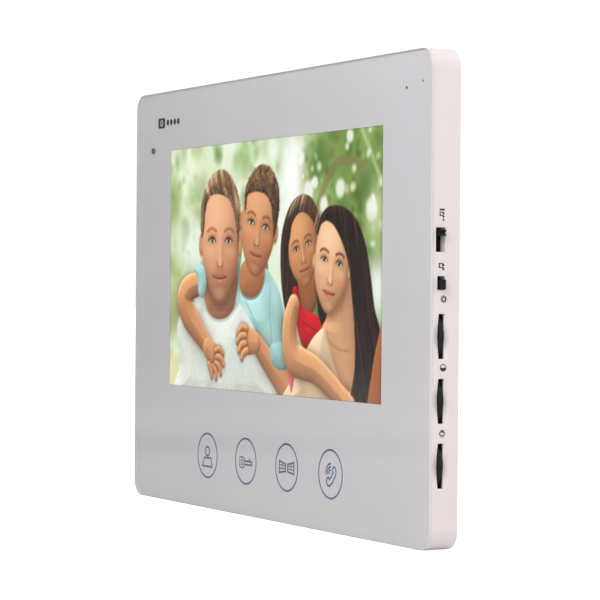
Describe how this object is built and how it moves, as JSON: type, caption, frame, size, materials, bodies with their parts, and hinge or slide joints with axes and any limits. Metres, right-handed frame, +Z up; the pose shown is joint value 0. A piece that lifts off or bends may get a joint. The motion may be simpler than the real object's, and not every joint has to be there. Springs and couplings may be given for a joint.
{
  "type": "video intercom monitor",
  "caption": "Wall-hung video intercom monitor: glass front with screen and touch buttons, slide switch, push button and thumbwheels on one side, on a hook-on steel wall bracket.",
  "frame": {"origin": "on the wall plane, at the middle of the wall bracket's rear face", "axes": "+X to the right seen from the front, +Y into the wall, +Z up"},
  "size_m": [0.2155, 0.02, 0.151],
  "materials": {
    "glass": "polished",
    "silver_print": "gloss seen through the glass",
    "icon_ink": "screen-printed",
    "mark_ink": "screen-printed",
    "side_ink": "pad-printed",
    "housing_plastic": "fine satin",
    "rear_plastic": "fine spark texture",
    "control_plastic": "satin",
    "black_plastic": "satin",
    "rubber": "matte",
    "zinc_steel": "zinc-plated sheet",
    "screw_steel": "plated",
    "tray_metal": "satin",
    "adhesive": "foam tape",
    "label_film": "matt film",
    "clear_film": "clear",
    "display_glass": "polished",
    "light_guide": "clear",
    "amber_film": "film",
    "white_film": "film",
    "circuit_board": "solder mask",
    "copper_pad": "plated",
    "led_resin": "clear",
    "shield_metal": "tinned sheet",
    "chip_resin": "moulded",
    "ferrite": "moulded",
    "capacitor_resin": "moulded",
    "connector_plastic": "moulded",
    "pin_metal": "plated",
    "cone_paper": "pressed paper",
    "wire_jacket": "insulation"
  },
  "bodies": {
    "bracket": {"wall_bracket": "zinc_steel"},
    "monitor": {"front_glass": "glass", "glass_print": "silver_print", "button_icons": "icon_ink", "maker_mark": "mark_ink", "adhesive_sheet": "adhesive", "front_housing": "housing_plastic", "rear_cover": "rear_plastic", "rubber_pads": "rubber", "rating_label": "label_film", "case_screws": "screw_steel", "optical_adhesive": "clear_film", "lcd_gasket": "rubber", "lcd_cell": "display_glass", "lcd_backlight": "light_guide", "lcd_frame": "tray_metal", "lcd_flex": "amber_film", "lcd_clips": "zinc_steel", "clip_screws": "screw_steel", "touch_board": "circuit_board", "touch_electrodes": "copper_pad", "touch_leds": "led_resin", "touch_chip": "chip_resin", "touch_ribbon": "white_film", "main_board": "circuit_board", "shield_can": "shield_metal", "chips": "chip_resin", "inductors": "ferrite", "capacitors": "capacitor_resin", "cable_headers": "connector_plastic", "header_pins": "pin_metal", "board_connectors": "connector_plastic", "board_screws": "screw_steel", "side_board": "circuit_board", "side_board_screws": "screw_steel", "side_ribbon": "white_film", "slide_switch_body": "black_plastic", "push_switch_body": "black_plastic", "brightness_pot": "black_plastic", "contrast_pot": "black_plastic", "volume_pot": "black_plastic", "side_icons": "side_ink", "microphone": "tray_metal", "microphone_boot": "rubber", "status_board": "circuit_board", "status_leds": "led_resin", "light_pipes": "light_guide", "speaker_frame": "black_plastic", "speaker_magnet": "shield_metal", "speaker_cone": "cone_paper", "speaker_gasket": "rubber", "speaker_wires": "wire_jacket"},
    "lever": {"slide_lever": "control_plastic"},
    "button": {"push_button": "control_plastic"},
    "brightness_dial": {"brightness_wheel": "control_plastic"},
    "contrast_dial": {"contrast_wheel": "control_plastic"},
    "volume_dial": {"volume_wheel": "control_plastic"}
  },
  "joints": [
    {"name": "monitor_lift", "type": "slide", "parent": "bracket", "child": "monitor", "axis": [0, 0, 1], "range_m": [0, 0.008]},
    {"name": "lever_slide", "type": "slide", "parent": "monitor", "child": "lever", "axis": [0, 0, 1], "range_m": [-0.0042, 0]},
    {"name": "button_press", "type": "slide", "parent": "monitor", "child": "button", "axis": [-1, 0, 0], "range_m": [0, 0.0004], "stiffness_N_per_m": 1500, "springref_m": -0.0008},
    {"name": "brightness_turn", "type": "hinge", "parent": "monitor", "child": "brightness_dial", "pos_m": [0.09855, -0.0162, -0.0111], "axis": [0, 1, 0], "range_deg": [-140, 140]},
    {"name": "contrast_turn", "type": "hinge", "parent": "monitor", "child": "contrast_dial", "pos_m": [0.09855, -0.0162, -0.0305], "axis": [0, 1, 0], "range_deg": [-140, 140]},
    {"name": "volume_turn", "type": "hinge", "parent": "monitor", "child": "volume_dial", "pos_m": [0.09855, -0.0162, -0.0499], "axis": [0, 1, 0], "range_deg": [-140, 140]}
  ]
}
